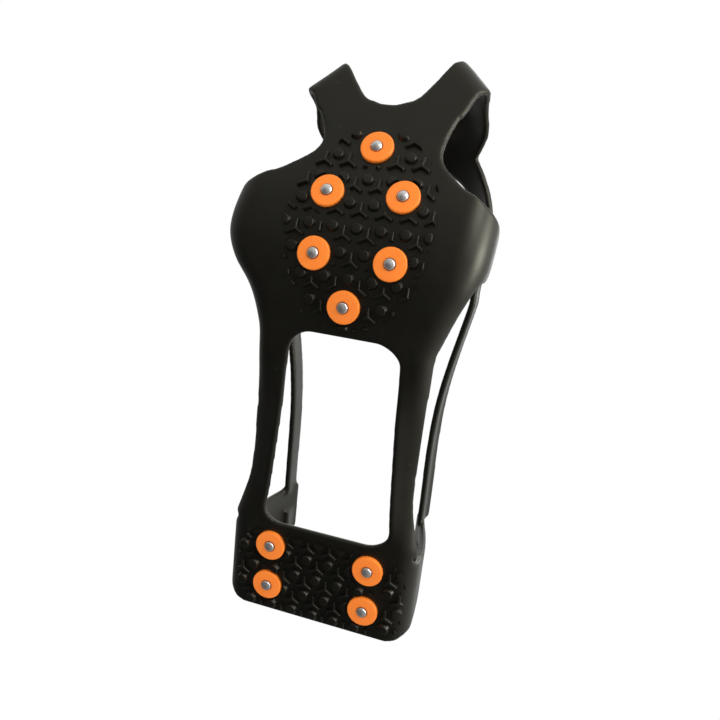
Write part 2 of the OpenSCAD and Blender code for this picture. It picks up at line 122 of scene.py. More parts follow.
# smooth curve through a table of (place, value)
def curve(table, p):
    at, value = np.array(table, float).T
    order = np.arange(len(at))
    before, after = np.maximum(order - 1, 0), np.minimum(order + 1, len(at) - 1)
    slope = (value[after] - value[before]) / (at[after] - at[before])
    i = np.clip(np.searchsorted(at, p, side="right") - 1, 0, len(at) - 2)
    w = at[i + 1] - at[i]
    k = np.clip((p - at[i]) / w, 0, 1)
    bow = w * k * (1 - k) * (slope[i] * (1 - k) - slope[i + 1] * k)
    return mix(value[i], value[i + 1], k * k * (3 - 2 * k)) + bow


# smooth line through points, by share k of their count; each k may have points of its own
def through(points, k):
    p = np.array(points, float)
    n = len(p) - 1
    i = np.minimum(np.floor(np.asarray(k) * n).astype(int), n - 1)
    t = column(k * n - i)
    own = () if p.ndim == 2 else (np.arange(len(i)),)
    a, b, c, d = [p[(at,) + own] for at in (np.maximum(0, i - 1), i, i + 1, np.minimum(n, i + 2))]
    return b + t / 2 * (c - a + t * (2 * a - 5 * b + 4 * c - d + t * (3 * (b - c) + d - a)))


waist, ball = sole["waistWidth"] / 2, sole["ballWidth"] / 2
front, rear = sole["windowFront"], sole["windowRear"]
widthTable = [
    (rear, sole["heelWidth"] / 2), (rear + 20, waist + 1.2), (-60, waist), (front - 12, waist + 0.8),
    (front, waist + 2.2), (3, ball - 10.5), (14, ball - 4), (28, ball), (52, ball - 0.8),
]
foldTable = [
    (rear, sole["heelFold"]), (-60, sole["waistFold"]), (front - 12, sole["waistFold"]),
    (14, mix(sole["waistFold"], sole["ballFold"], 0.75)), (28, sole["ballFold"]), (52, sole["ballFold"]),
]
rimHeightTable = [
    (sole["flapFront"], rim["heelHeight"]), (-40, mix(rim["ballHeight"], rim["heelHeight"], 0.4)),
    (32, rim["ballHeight"]),
]
rimWidthTable = [
    (sole["flapFront"], rim["heelWidth"] / 2), (-50, rim["waistWidth"] / 2),
    (sole["wingRear"], rim["ballWidth"] / 2), (sole["wingFront"], rim["ballWidth"] / 2),
]


def flatWidth(s):
    return curve(widthTable, s) - curve(foldTable, s)


# outer skin at s, a distance v outward from the end of the flat sole: round the fold, then up the wall
def skin(s, v):
    half, r = curve(widthTable, s), curve(foldTable, s)
    rimAt, rimHeight = curve(rimWidthTable, s), curve(rimHeightTable, s)
    quarter = r * math.pi / 2
    turn = np.clip(v / r, 0, math.pi / 2)
    h = np.where(v < quarter, r * (1 - np.cos(turn)), r + v - quarter)
    k = np.clip((h - r) / (rimHeight - r), 0, rim["wallReach"])
    x = np.where(v <= 0, half - r + v, np.where(v < quarter, half - r + r * np.sin(turn), mix(half, rimAt, k * k)))
    return np.stack([x, s, h], -1)


def skinAt(s, h):
    r = curve(foldTable, s)
    return h - r + r * math.pi / 2


springLength = sole["springRadius"] * sole["springAngle"]
flatBall = float(flatWidth(52))
notchHalf = sole["notchWidth"] / 2
notchTable = [
    (sole["wingFront"] + 6.2, flatBall), (sole["wingFront"] + 7.8, flatBall - 3), (59, notchHalf + 9),
    (64, notchHalf + 3), (67.2, notchHalf + 0.7), (sole["notch"], notchHalf), (77, notchHalf + 1),
    (82.8, notchHalf + 3.4), (sole["toeNotch"], notchHalf + 7),
]
pullTable = [
    (front, 0), (2, 0.09), (15, 0.74), (28, 1), (sole["wingFront"], 0.6), (55, 0.15), (sole["notch"], -0.35),
    (sole["toeNotch"], -0.06), (110.8, 0),
]
turnTable = [(sole["notch"], 0), (110.8, sole["toeTurn"])]


# half width of the forefoot plate: out to the fold beside the wings, then round the side notches
def plateHalf(s):
    return np.where(s < notchTable[0][0], flatWidth(s), curve(notchTable, s))


# as worn: the sides of the plate pulled over, the toe end turned
def worn(x, s):
    reach = np.clip((np.abs(x) / plateHalf(s) - sole["pullFrom"]) / sole["pullSpan"], 0, 1)
    return x + sole["wingPull"] * curve(pullTable, s) * reach, s - x * curve(turnTable, s)


def tilt(s):
    return np.clip(np.asarray(s, float) / sole["springRadius"], 0, sole["springAngle"])


# layout to the frame: pulled as worn, bent along the toe spring, in metres
def bendUp(x, s, h):
    x, s, h = np.broadcast_arrays(*[np.asarray(a, float) for a in (x, s, h)])
    x, s = worn(x, s)
    a, past, r = tilt(s), np.maximum(0, s - springLength), sole["springRadius"]
    y = np.minimum(0, s) + (r - h) * np.sin(a) + past * np.cos(a)
    z = h + (r - h) * (1 - np.cos(a)) + past * np.sin(a)
    return np.stack([x + shiftX, y + shiftY, z + shiftZ], -1) * mm


def bendPoints(p):
    return bendUp(p[..., 0], p[..., 1], p[..., 2])


# a place square to the sole, for what sits on it
def onSole(x, s):
    return Matrix.Translation(Vector(bendUp(x, s, 0))) @ Matrix.Rotation(float(tilt(s)), 4, "X")


# Camera: the photograph's place and turn, worked out from the ten discs

camera = {
    "place": (-82.91, 58.08, -272.4),
    "right": (-0.9506, 0.1098, 0.2902),
    "up": (0.1803, 0.9567, 0.2287),
    "lens": 35.01,
    "sensor": 36,
    "clip": 10,
}
cameraRight = Vector(camera["right"]).normalized()
cameraBack = cameraRight.cross(Vector(camera["up"])).normalized()
cameraUp = cameraBack.cross(cameraRight)
cameraTurn = Matrix((cameraRight, cameraUp, cameraBack)).transposed().to_4x4()
cameraPlace = (Vector(camera["place"]) + Vector((shiftX, shiftY, shiftZ))) * mm
bpy.ops.object.select_all(action="DESELECT")
bpy.ops.object.camera_add()
viewer = bpy.context.object
viewer.name = "photoCamera"
viewer.matrix_world = Matrix.Translation(cameraPlace) @ cameraTurn
viewer.data.lens = camera["lens"]
viewer.data.sensor_width = camera["sensor"]
viewer.data.clip_start = camera["clip"] * mm
bpy.context.scene.camera = viewer
print("camera placed")


# Materials

# sRGB hex to linear
def hexColour(text):
    parts = [int(text[i:i + 2], 16) / 255 for i in (1, 3, 5)]
    return [c / 12.92 if c <= 0.04045 else ((c + 0.055) / 1.055) ** 2.4 for c in parts] + [1]


def newMaterial(name):
    made = bpy.data.materials.new(name)
    made.use_nodes = True
    return made, made.node_tree, made.node_tree.nodes["Principled BSDF"]


# adds a node: settings by property, inputs by socket name or number, each a value or another node's output
def addNode(tree, kind, settings={}, inputs={}):
    node = tree.nodes.new(kind)
    for key, value in settings.items():
        setattr(node, key, value)
    for key, value in inputs.items():
        if isinstance(value, bpy.types.NodeSocket):
            tree.links.new(value, node.inputs[key])
        else:
            node.inputs[key].default_value = value
    return node


# pattern scale for a grain of this size in mm
def grain(size):
    return 1 / (size * mm)


# Moulded thermoplastic rubber, black: satin, dark and a little warm, with a fine spark-eroded mould grain, faint
# flow waves, greyer scuffed clouds and a few specks of dust; the grain is drawn as coarse as it needs to show
rubberFinish = {
    "dark": "#080706", "worn": "#100f0c", "dust": "#6d6b66", "cloud": 14, "wave": 7, "grit": 0.45, "speck": 3.2,
    "speckSize": 0.04, "speckShare": 0.07, "roughLow": 0.36, "roughHigh": 0.46, "specular": 0.46,
    "tint": "#fffce4", "ior": 1.52, "sheen": 0.02, "sheenRough": 0.4, "sheenTint": "#9c958a",
}


def makeRubber():
    made, tree, shader = newMaterial("blackMouldedRubber")
    place = addNode(tree, "ShaderNodeTexCoord").outputs["Object"]
    cloud = addNode(tree, "ShaderNodeTexNoise", {}, {
        "Vector": place, "Scale": grain(rubberFinish["cloud"]), "Detail": 5, "Roughness": 0.6})
    wave = addNode(tree, "ShaderNodeTexNoise", {}, {
        "Vector": place, "Scale": grain(rubberFinish["wave"]), "Detail": 2})
    grit = addNode(tree, "ShaderNodeTexNoise", {}, {
        "Vector": place, "Scale": grain(rubberFinish["grit"]), "Detail": 2, "Roughness": 0.5})
    cells = addNode(tree, "ShaderNodeTexVoronoi", {}, {"Vector": place, "Scale": grain(rubberFinish["speck"])})
    near = addNode(tree, "ShaderNodeMath", {"operation": "LESS_THAN"}, {
        0: cells.outputs["Distance"], 1: rubberFinish["speckSize"]})
    few = addNode(tree, "ShaderNodeMath", {"operation": "LESS_THAN"}, {
        0: addNode(tree, "ShaderNodeSeparateColor", {}, {"Color": cells.outputs["Color"]}).outputs["Red"],
        1: rubberFinish["speckShare"]})
    speck = addNode(tree, "ShaderNodeMath", {"operation": "MULTIPLY"}, {0: near.outputs[0], 1: few.outputs[0]})
    tone = addNode(tree, "ShaderNodeMix", {"data_type": "RGBA"}, {
        "Factor": cloud.outputs["Fac"], "A": hexColour(rubberFinish["dark"]), "B": hexColour(rubberFinish["worn"])})
    dusty = addNode(tree, "ShaderNodeMix", {"data_type": "RGBA"}, {
        "Factor": speck.outputs[0], "A": tone.outputs["Result"], "B": hexColour(rubberFinish["dust"])})
    rough = addNode(tree, "ShaderNodeMapRange", {}, {
        "Value": cloud.outputs["Fac"], "From Min": 0.3, "From Max": 0.7,
        "To Min": rubberFinish["roughLow"], "To Max": rubberFinish["roughHigh"]})
    swell = addNode(tree, "ShaderNodeBump", {}, {
        "Height": wave.outputs["Fac"], "Strength": 0.12, "Distance": 0.4 * mm})
    pits = addNode(tree, "ShaderNodeBump", {}, {
        "Height": grit.outputs["Fac"], "Strength": 0.2, "Distance": 0.06 * mm, "Normal": swell.outputs["Normal"]})
    tree.links.new(dusty.outputs["Result"], shader.inputs["Base Color"])
    tree.links.new(rough.outputs["Result"], shader.inputs["Roughness"])
    tree.links.new(pits.outputs["Normal"], shader.inputs["Normal"])
    shader.inputs["Specular IOR Level"].default_value = rubberFinish["specular"]
    shader.inputs["Specular Tint"].default_value = hexColour(rubberFinish["tint"])
    shader.inputs["IOR"].default_value = rubberFinish["ior"]
    shader.inputs["Sheen Weight"].default_value = rubberFinish["sheen"]
    shader.inputs["Sheen Roughness"].default_value = rubberFinish["sheenRough"]
    shader.inputs["Sheen Tint"].default_value = hexColour(rubberFinish["sheenTint"])
    return made


# Moulded thermoplastic, signal orange: smooth satin with a soft inner glow, a trace of flow marks from the gate
# in the middle and light scuffs
discFinish = {
    "bright": "#f9872d", "deep": "#f27d25", "flow": 3.2, "grit": 0.5, "roughLow": 0.3, "roughHigh": 0.42,
    "glow": 0.08, "glowReach": (1, 0.35, 0.1), "specular": 0.32,
}


def makeDiscPlastic():
    made, tree, shader = newMaterial("orangeMouldedPlastic")
    place = addNode(tree, "ShaderNodeTexCoord").outputs["Object"]
    flow = addNode(tree, "ShaderNodeTexNoise", {}, {
        "Vector": place, "Scale": grain(discFinish["flow"]), "Detail": 4, "Roughness": 0.55})
    grit = addNode(tree, "ShaderNodeTexNoise", {}, {
        "Vector": place, "Scale": grain(discFinish["grit"]), "Detail": 2})
    tone = addNode(tree, "ShaderNodeMix", {"data_type": "RGBA"}, {
        "Factor": flow.outputs["Fac"], "A": hexColour(discFinish["deep"]), "B": hexColour(discFinish["bright"])})
    rough = addNode(tree, "ShaderNodeMapRange", {}, {
        "Value": flow.outputs["Fac"], "From Min": 0.3, "From Max": 0.7,
        "To Min": discFinish["roughLow"], "To Max": discFinish["roughHigh"]})
    pits = addNode(tree, "ShaderNodeBump", {}, {
        "Height": grit.outputs["Fac"], "Strength": 0.1, "Distance": 0.04 * mm})
    tree.links.new(tone.outputs["Result"], shader.inputs["Base Color"])
    tree.links.new(rough.outputs["Result"], shader.inputs["Roughness"])
    tree.links.new(pits.outputs["Normal"], shader.inputs["Normal"])
    shader.inputs["Subsurface Weight"].default_value = discFinish["glow"]
    shader.inputs["Subsurface Radius"].default_value = discFinish["glowReach"]
    shader.inputs["Subsurface Scale"].default_value = mm
    shader.inputs["Specular IOR Level"].default_value = discFinish["specular"]
    return made


# Nickel-plated steel, turned: bright and a little soft, with fine scratches and duller spots; the tip is worn through
# to bare steel, pale and matt
studFinish = {
    "nickelPlatedSteel": {"bright": "#f0eeea", "dull": "#d6d4d0", "roughLow": 0.16, "roughHigh": 0.3, "metal": 0.9},
    "wornSteelTip": {"bright": "#f6f6f7", "dull": "#dcdde0", "roughLow": 0.4, "roughHigh": 0.55, "metal": 0.75},
    "blotch": 1.4, "scratch": 0.3,
}


def makeStudSteel(name):
    finish = studFinish[name]
    made, tree, shader = newMaterial(name)
    place = addNode(tree, "ShaderNodeTexCoord").outputs["Object"]
    blotch = addNode(tree, "ShaderNodeTexNoise", {}, {
        "Vector": place, "Scale": grain(studFinish["blotch"]), "Detail": 4})
    scratch = addNode(tree, "ShaderNodeTexNoise", {}, {
        "Vector": place, "Scale": grain(studFinish["scratch"]), "Detail": 2, "Distortion": 1.5})
    tone = addNode(tree, "ShaderNodeMix", {"data_type": "RGBA"}, {
        "Factor": blotch.outputs["Fac"], "A": hexColour(finish["dull"]), "B": hexColour(finish["bright"])})
    rough = addNode(tree, "ShaderNodeMapRange", {}, {
        "Value": blotch.outputs["Fac"], "From Min": 0.3, "From Max": 0.7,
        "To Min": finish["roughHigh"], "To Max": finish["roughLow"]})
    marks = addNode(tree, "ShaderNodeBump", {}, {
        "Height": scratch.outputs["Fac"], "Strength": 0.15, "Distance": 0.03 * mm})
    tree.links.new(tone.outputs["Result"], shader.inputs["Base Color"])
    tree.links.new(rough.outputs["Result"], shader.inputs["Roughness"])
    tree.links.new(marks.outputs["Normal"], shader.inputs["Normal"])
    shader.inputs["Metallic"].default_value = finish["metal"]
    return made


rubber, discPlastic = makeRubber(), makeDiscPlastic()
studSteel, tipSteel = makeStudSteel("nickelPlatedSteel"), makeStudSteel("wornSteelTip")
print("materials made")


# Handling of pieces

def deselect():
    bpy.ops.object.select_all(action="DESELECT")


def pickUp(piece):
    deselect()
    piece.select_set(True)
    bpy.context.view_layer.objects.active = piece


def joinAll(pieces, name):
    deselect()
    for piece in pieces:
        piece.select_set(True)
    bpy.context.view_layer.objects.active = pieces[0]
    bpy.ops.object.join()
    pieces[0].name = pieces[0].data.name = name
    return pieces[0]


# adds a modifier with its settings and applies it
def finishWith(piece, kind, **settings):
    pickUp(piece)
    step = piece.modifiers.new(kind.lower(), kind)
    for key, value in settings.items():
        setattr(step, key, value)
    bpy.ops.object.modifier_apply(modifier=step.name)


def meshPoints(piece):
    co = np.empty(len(piece.data.vertices) * 3)
    piece.data.vertices.foreach_get("co", co)
    return co.reshape(-1, 3)


def setPoints(piece, points):
    piece.data.vertices.foreach_set("co", np.asarray(points, float).ravel())
    piece.data.update()


# rounds the edges that chosen picks by the places of their two ends
def roundEdges(piece, chosen, width, segments, clamp=False):
    pickUp(piece)
    bpy.ops.object.mode_set(mode="EDIT")
    bpy.ops.mesh.select_all(action="DESELECT")
    bpy.ops.object.mode_set(mode="OBJECT")
    for edge in piece.data.edges:
        edge.select = chosen(*[piece.data.vertices[i].co for i in edge.vertices])
    bpy.ops.object.mode_set(mode="EDIT")
    bpy.ops.mesh.select_mode(type="EDGE")
    bpy.ops.mesh.bevel(offset=width * mm, segments=segments, clamp_overlap=clamp)
    bpy.ops.object.mode_set(mode="OBJECT")


def copyOf(model, place):
    piece = model.copy()
    piece.data = model.data.copy()
    bpy.context.scene.collection.objects.link(piece)
    piece.data.transform(place)
    return piece


def paint(piece, *materials):
    piece.data.materials.clear()
    for material in materials:
        piece.data.materials.append(material)


# a sheet of rubber: a grid laid on its outer face, then thickened towards the foot; hand -1 is the left one
def rubberSheet(face, alongU, alongV, thick=sole["rubber"], hand=1):
    deselect()
    bpy.ops.mesh.primitive_grid_add(x_subdivisions=alongU, y_subdivisions=alongV, size=1)
    sheet = bpy.context.object
    u, v = meshPoints(sheet)[:, 0] * hand + 0.5, meshPoints(sheet)[:, 1] + 0.5
    setPoints(sheet, bendPoints(face(u, v) * (hand, 1, 1)))
    finishWith(sheet, "SOLIDIFY", thickness=thick * mm, offset=-1, use_even_offset=True)
    return sheet


# fuses overlapping sheets into one moulding with rounded edges, then thins the mesh where it is flat
def mould(piece, voxel, rounds, keep):
    finishWith(piece, "REMESH", mode="VOXEL", voxel_size=voxel * mm, adaptivity=0)
    finishWith(piece, "SMOOTH", factor=0.5, iterations=rounds)
    triangles = 2 * len(piece.data.polygons)
    if triangles > keep:
        finishWith(piece, "DECIMATE", ratio=keep / triangles)
    pickUp(piece)
    bpy.ops.object.shade_smooth()


# Rubber harness: plates, rails, wings, toe arms, flaps and rim in one moulding

harness = {
    "overlap": 2, "voxel": 0.55, "rounds": 40, "keep": 190000,
    "swell": 0.8, "swellRise": 0.035, "swellReach": 7.7, "swellPower": 6,
    "railFree": 6, "railFlat": 40, "railRear": 16, "railLean": 0.85, "pullBefore": 2, "pullAfter": 6,
    "wingRoot": 7, "wingRootReach": 25,
    "padProud": 0.9, "padThick": 4.8, "padBehind": 2.5, "padAhead": 13, "padTaller": 1,
    "bead": 2.1, "beadAt": 0.9, "beadToe": (0.07, 0.93), "beadSidePoints": 60, "beadToePoints": 120,
}
lap = harness["overlap"]
thickness = sole["rubber"]


# its front edge swells a little between the toe arms, which rounds the bottom of the notch there
def forefootPlate(u, v):
    s = mix(front, sole["toeNotch"], u)
    x = mix(-plateHalf(s), plateHalf(s), v)
    swell = harness["swell"] + harness["swellRise"] * np.minimum(np.abs(x), harness["swellReach"]) ** 2
    return np.stack([x, s + swell * u ** harness["swellPower"], 0 * s], -1)


def heelPlate(u, v):
    half = float(flatWidth(rear))
    return np.stack([mix(-half, half, v), mix(sole["heelEnd"], rear, u), 0 * u], -1)


# half width of the arch window, with round corners
def windowHalf(s):
    r = sole["windowCorner"]
    depth = np.minimum(front - s, s - rear)
    corner = np.where(depth < r, r - np.sqrt(np.maximum(0, r * r - (r - depth) ** 2)), 0)
    return mix(sole["windowFrontWidth"], sole["windowRearWidth"], (front - s) / (front - rear)) / 2 - corner


def ramp(a, b, p):
    k = np.clip((p - a) / (b - a), 0, 1)
    return k * k * (3 - 2 * k)


# a rail between plate and heel; where it hangs free, it is stretched to a flat strip that leans outward
def archRail(u, v, hand):
    s = mix(rear - lap, front + lap, (1 - np.cos(math.pi * u)) / 2)
    free = ramp(front - harness["railFree"], front - harness["railFlat"], s)
    free *= ramp(rear, rear + harness["railRear"], s)
    pull = sole["windowPull"] if hand < 0 else 0
    before, after = harness["pullBefore"], harness["pullAfter"]
    inner = windowHalf(s) + pull * ramp(rear - before, rear + after, s) * ramp(front + before, front - after, s)
    flat = flatWidth(s)
    folded = skin(s, np.where(v < 0.5, (inner - flat) * (1 - 2 * v), sole["railCurl"] * (2 * v - 1)))
    strip = mix(np.stack([inner, s, 0 * s], -1), skin(s, 0 * s + sole["railCurl"]), column(v))
    return mix(folded, strip, column(harness["railLean"] * free))


curl = sole["railCurl"]
sweep = sole["wingRear"] - front
wingRearTable = [(curl + d, front + k * sweep) for d, k in [
    (0, 0), (1.2, 0), (2.1, 0.12), (2.9, 0.4), (3.6, 0.72), (5.2, 0.85), (8.7, 0.93), (17, 0.99), (30, 1), (60, 0.97)]]
wingTop = float(skinAt(sole["wingRear"], rim["ballHeight"] + rim["width"] / 2))


def wing(u, w):
    v = mix(-lap, wingTop, w)
    back = np.where(v < curl, front, curve(wingRearTable, v))
    ahead = sole["wingFront"] + harness["wingRoot"] * (1 - np.clip(v / harness["wingRootReach"], 0, 1)) ** 2
    return skin(mix(back, ahead, u), v)


flapFrontTable = [
    (0, rear), (5, rear - 1), (11, sole["flapFront"] + 3), (18, sole["flapFront"] + 0.8), (30, sole["flapFront"]),
    (60, sole["flapFront"] + 0.5),
]
flapRearTable = [
    (0, sole["heelEnd"] + 0.3), (4, sole["heelEnd"] + 1.4), (8, sole["heelEnd"] + 3.6), (14, sole["heelEnd"] + 5.5),
    (30, sole["flapRear"] - 2), (50, sole["flapRear"]), (60, sole["flapRear"]),
]
flapTop = float(skinAt(sole["flapFront"], rim["heelHeight"] + rim["width"] / 2))


def heelFlap(u, w):
    v = mix(-lap, flapTop, w)
    return skin(mix(curve(flapRearTable, v), curve(flapFrontTable, v), u), v)


def sideRim(u, v):
    s = mix(sole["flapFront"] - lap, sole["wingRear"] + lap, u)
    return np.stack([curve(rimWidthTable, s), s, curve(rimHeightTable, s) + (v - 0.5) * rim["width"]], -1)


# lower and upper edge of the rim round the toe, from inside the wing to the middle of the toe strap: share of the
# half width, share of the way to the toe, height over the rim's middle
def toeEdge(table):
    start = sole["wingFront"] + rim["toeStart"]
    return [(rim["ballWidth"] / 2 * x, mix(start, sole["toeFront"], k), rim["ballHeight"] + h) for x, k, h in table]


toeLow = toeEdge([(1, -0.09, -6), (1, 0.06, -6.4), (0.96, 0.25, -9), (0.86, 0.5, -11), (0.715, 0.73, -12),
                  (0.52, 0.9, -9.5), (0.265, 0.975, -3.5), (0, 1, -1.5)])
toeHigh = toeEdge([(0.98, -0.09, 6), (0.98, 0.06, 5.6), (0.91, 0.225, 3), (0.775, 0.445, 0.5), (0.61, 0.62, -0.5),
                   (0.41, 0.74, 1.5), (0.205, 0.79, 5), (0, 0.8, 7)])


def bothWays(points):
    return points + [(-x, s, h) for x, s, h in points[-2::-1]]


def toeRim(u, v):
    return mix(through(bothWays(toeLow), u), through(bothWays(toeHigh), u), column(v))


arm = {
    "tip": (22.1, 110.8), "root": (36, 96.2), "under": 3.3, "fold": 7, "foldTurns": (30, 60, 90),
    "meets": (4 / 7, 0.82), "lead": 11, "lap": 3.5,
}


# edge of a toe arm: its flat part, the fold at the end of that, and a point on the wall above
def armEdge(flat, wall):
    x, s = flat[-1]
    out, r = math.sqrt(0.5), arm["fold"]
    turns = [math.radians(a) for a in arm["foldTurns"]]
    fold = [(x + r * math.sin(a) * out, s + r * math.sin(a) * out, r * (1 - math.cos(a))) for a in turns]
    return [(x, s, 0) for x, s in flat] + fold + [(x + wall[0], s + wall[1], wall[2])]


base, (tipX, tipS), (rootX, rootS) = sole["toeNotch"], arm["tip"], arm["root"]
armOuter = armEdge([
    (notchHalf + 5.2, base - arm["under"]), (notchHalf + 7, base), (notchHalf + 7.7, mix(base, rootS, 0.28)),
    (notchHalf + 8.4, mix(base, rootS, 0.6)), (rootX, rootS)], (4, 4, 16))
armInner = armEdge([
    (2, base - arm["under"]), (2, base), (10.6, mix(base, tipS, 0.19)), (16.4, mix(base, tipS, 0.555)),
    (tipX, tipS)], (4, 3.8, 16))


# each lengthwise line runs up the toe and into the rim, in line with it at the top
def toeArm(u, v):
    at = mix(arm["meets"][0], arm["meets"][1], u)
    low = through(toeLow, at)
    up = through(toeHigh, at) - low
    up /= np.linalg.norm(up, axis=1)[:, None]
    line = [mix(np.array(a), np.array(b), column(u)) for a, b in zip(armOuter, armInner)]
    return through(line + [low - up * arm["lead"], low + up * arm["lap"]], v)


# thicker pad at the top of a flap, where the heel strap starts
def flapPad(u, v):
    s = mix(sole["flapRear"] - harness["padBehind"], sole["flapRear"] + harness["padAhead"], u)
    h = rim["heelHeight"] + (v - 0.5) * (rim["width"] + harness["padTaller"])
    return np.stack([0 * s + rim["heelWidth"] / 2 + harness["padProud"], s, h], -1)


# rolled edge along the top of the rim
def rolledEdge(points, radius):
    deselect()
    bpy.ops.curve.primitive_nurbs_path_add()
    roll = bpy.context.object
    roll.data.splines.clear()
    spline = roll.data.splines.new("POLY")
    spline.points.add(len(points) - 1)
    for knot, p in zip(spline.points, points):
        knot.co = (*p, 1)
    roll.data.bevel_depth = radius * mm
    roll.data.bevel_resolution = 3
    roll.data.use_fill_caps = True
    bpy.ops.object.convert(target="MESH")
    return bpy.context.object


# its path, in the middle of the rubber
def rimTop(share):
    sidePoints, toePoints = harness["beadSidePoints"], harness["beadToePoints"]
    side = sideRim(np.linspace(0, 1, sidePoints), np.full(sidePoints, share))
    toe = toeRim(mix(*harness["beadToe"], np.linspace(0, 1, toePoints)), np.full(toePoints, share))
    path = bendPoints(np.concatenate([side, toe, side[::-1] * (-1, 1, 1)]))
    towards = np.array([shiftX * mm, path[:, 1].mean(), 0]) - path
    towards[:, 2] = 0
    towards /= np.linalg.norm(towards, axis=1)[:, None]
    return path + towards * thickness / 2 * mm


# each sheet with the number of its grid's faces along u and v
sheets = [
    rubberSheet(forefootPlate, 110, 90),
    rubberSheet(heelPlate, 40, 70),
    rubberSheet(toeRim, 160, 10),
    rolledEdge(rimTop(harness["beadAt"]), harness["bead"]),
]
for hand in (1, -1):
    sheets += [
        rubberSheet(lambda u, v: archRail(u, v, hand), 90, 20, hand=hand),
        rubberSheet(wing, 60, 70, hand=hand),
        rubberSheet(heelFlap, 40, 70, hand=hand),
        rubberSheet(sideRim, 110, 10, hand=hand),
        rubberSheet(toeArm, 40, 90, hand=hand),
        rubberSheet(flapPad, 14, 12, harness["padThick"], hand),
    ]
rubberHarness = joinAll(sheets, "rubberHarness")
mould(rubberHarness, harness["voxel"], harness["rounds"], harness["keep"])
paint(rubberHarness, rubber)
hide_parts("forefoot_plate", "heel_plate", "toe_strap", *[
    part + side for part in ("toe_arm", "front_rim", "wing", "side_rail", "side_rim", "heel_flap")
    for side in ("_left", "_right")])
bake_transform(rubberHarness)
print("harness moulded:", len(rubberHarness.data.polygons), "faces")


# Heel strap with its pull tab

strap = {
    "reach": 36, "backWidth": 20, "lift": 4, "gap": 0.3,
    "tabWidth": 26, "tabLength": 24, "tabCorner": 6, "tabRoot": 4,
    "ribs": 4, "ribWidth": 1.6, "ribShort": 6, "ribSunk": 0.1, "ribMargin": 1.5,
    "voxel": 0.6, "rounds": 8, "keep": 90000,
    "start": -140, "end": -149,  # where it bends
}
strapFront = sole["flapRear"] - strap["gap"]

# its lower and upper edge, from a flap to the middle of the back: shares of half width, reach and lift
strapLow, strapHigh = [], []
for across, back, up in [(1, -0.28, 0), (1, 0, 0), (0.97, 0.26, 0.1), (0.85, 0.6, 0.3), (0.55, 0.88, 0.65), (0, 1, 1)]:
    lower = rim["heelHeight"] - rim["width"] / 2 + strap["lift"] * up
    wide = mix(rim["width"], strap["backWidth"], max(0, back))
    at = (-rim["heelWidth"] / 2 * across, strapFront - strap["reach"] * back)
    strapLow.append((*at, lower))
    strapHigh.append((*at, lower + wide))


def heelStrap(u, v):
    return mix(through(bothWays(strapLow), u), through(bothWays(strapHigh), u), column(v))


# a plain tab with grip ribs across its outer face; known fault: the bevel of its two top corners is picked in vertex
# mode, so it takes the long top edges too and leaves a sliver above the tab
def makePullTab():
    foot = strapHigh[-1]
    wide, long, root = strap["tabWidth"], strap["tabLength"], strap["tabRoot"]
    deselect()
    bpy.ops.mesh.primitive_cube_add(size=1)
    tab = bpy.context.object
    points = meshPoints(tab) * (wide, thickness, long + root)
    points += (0, foot[1] + thickness / 2, foot[2] + (long - root) / 2)
    setPoints(tab, bendPoints(points))
    top, near = float(meshPoints(tab)[:, 2].max()), mm / 10

    def topCorner(a, b):
        return abs(a.x - b.x) < near and abs(a.z - b.z) < near and a.z > top - near

    roundEdges(tab, topCorner, strap["tabCorner"], segments=8)
    ribs = []
    for i in range(strap["ribs"]):
        deselect()
        bpy.ops.mesh.primitive_cylinder_add(
            vertices=16, radius=strap["ribWidth"] / 2 * mm, depth=(wide - strap["ribShort"]) * mm)
        rib = bpy.context.object
        p = meshPoints(rib)[:, [2, 1, 0]] / mm
        level = foot[2] + long * (i + 1) / (strap["ribs"] + strap["ribMargin"]) + strap["ribWidth"] / 2
        p += (0, foot[1] + strap["ribSunk"], level)
        setPoints(rib, bendPoints(p))
        bpy.ops.object.mode_set(mode="EDIT")
        bpy.ops.mesh.select_all(action="SELECT")
        bpy.ops.mesh.normals_make_consistent(inside=False)
        bpy.ops.object.mode_set(mode="OBJECT")
        ribs.append(rib)
    return [tab] + ribs


heelLoop = joinAll([rubberSheet(heelStrap, 200, 16)] + makePullTab(), "heelStrap")
mould(heelLoop, strap["voxel"], strap["rounds"], strap["keep"])
paint(heelLoop, rubber)
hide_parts("heel_strap", "pull_tab", "strap_side_left", "strap_side_right")
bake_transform(heelLoop)
print("heel strap moulded:", len(heelLoop.data.polygons), "faces")


# Studs and their discs, modelled once on the sole's underside and copied to ten places

studPlaces = [(0, 69.3), (-16.2, 48.1), (16.2, 46.9), (-16.5, 20.2), (16.5, 20.2), (0.6, 0), (-23.7, -117.3),
              (23.7, -117.3), (-23.7, -138), (23.7, -138)]
disc = {
    "radius": 7.1, "height": 1.8, "edge": 0.7, "footEdge": 0.3, "bore": 2.64, "boreDepth": 0.6, "boreEdge": 0.12,
    "sides": 64,
}
stud = {
    "tip": 1.3, "tipDome": 0.4, "domeRings": (1, 0.75, 0.5, 0.25, 0.1), "domeFall": 0.75,
    "height": 1.5, "edge": 0.95, "edgeTurn": (-8, -70), "base": 2.45, "wall": 0.5, "draft": 0.08,
    "shank": 2, "collar": 0.5, "collarTop": 0.55,
    "head": 5.5, "headHeight": 1, "headEdge": 0.15, "shoulder": 0.3, "shoulderRise": 0.6, "dome": 0.25, "crown": 0.9,
    "sides": 40, "smooth": 40,
}


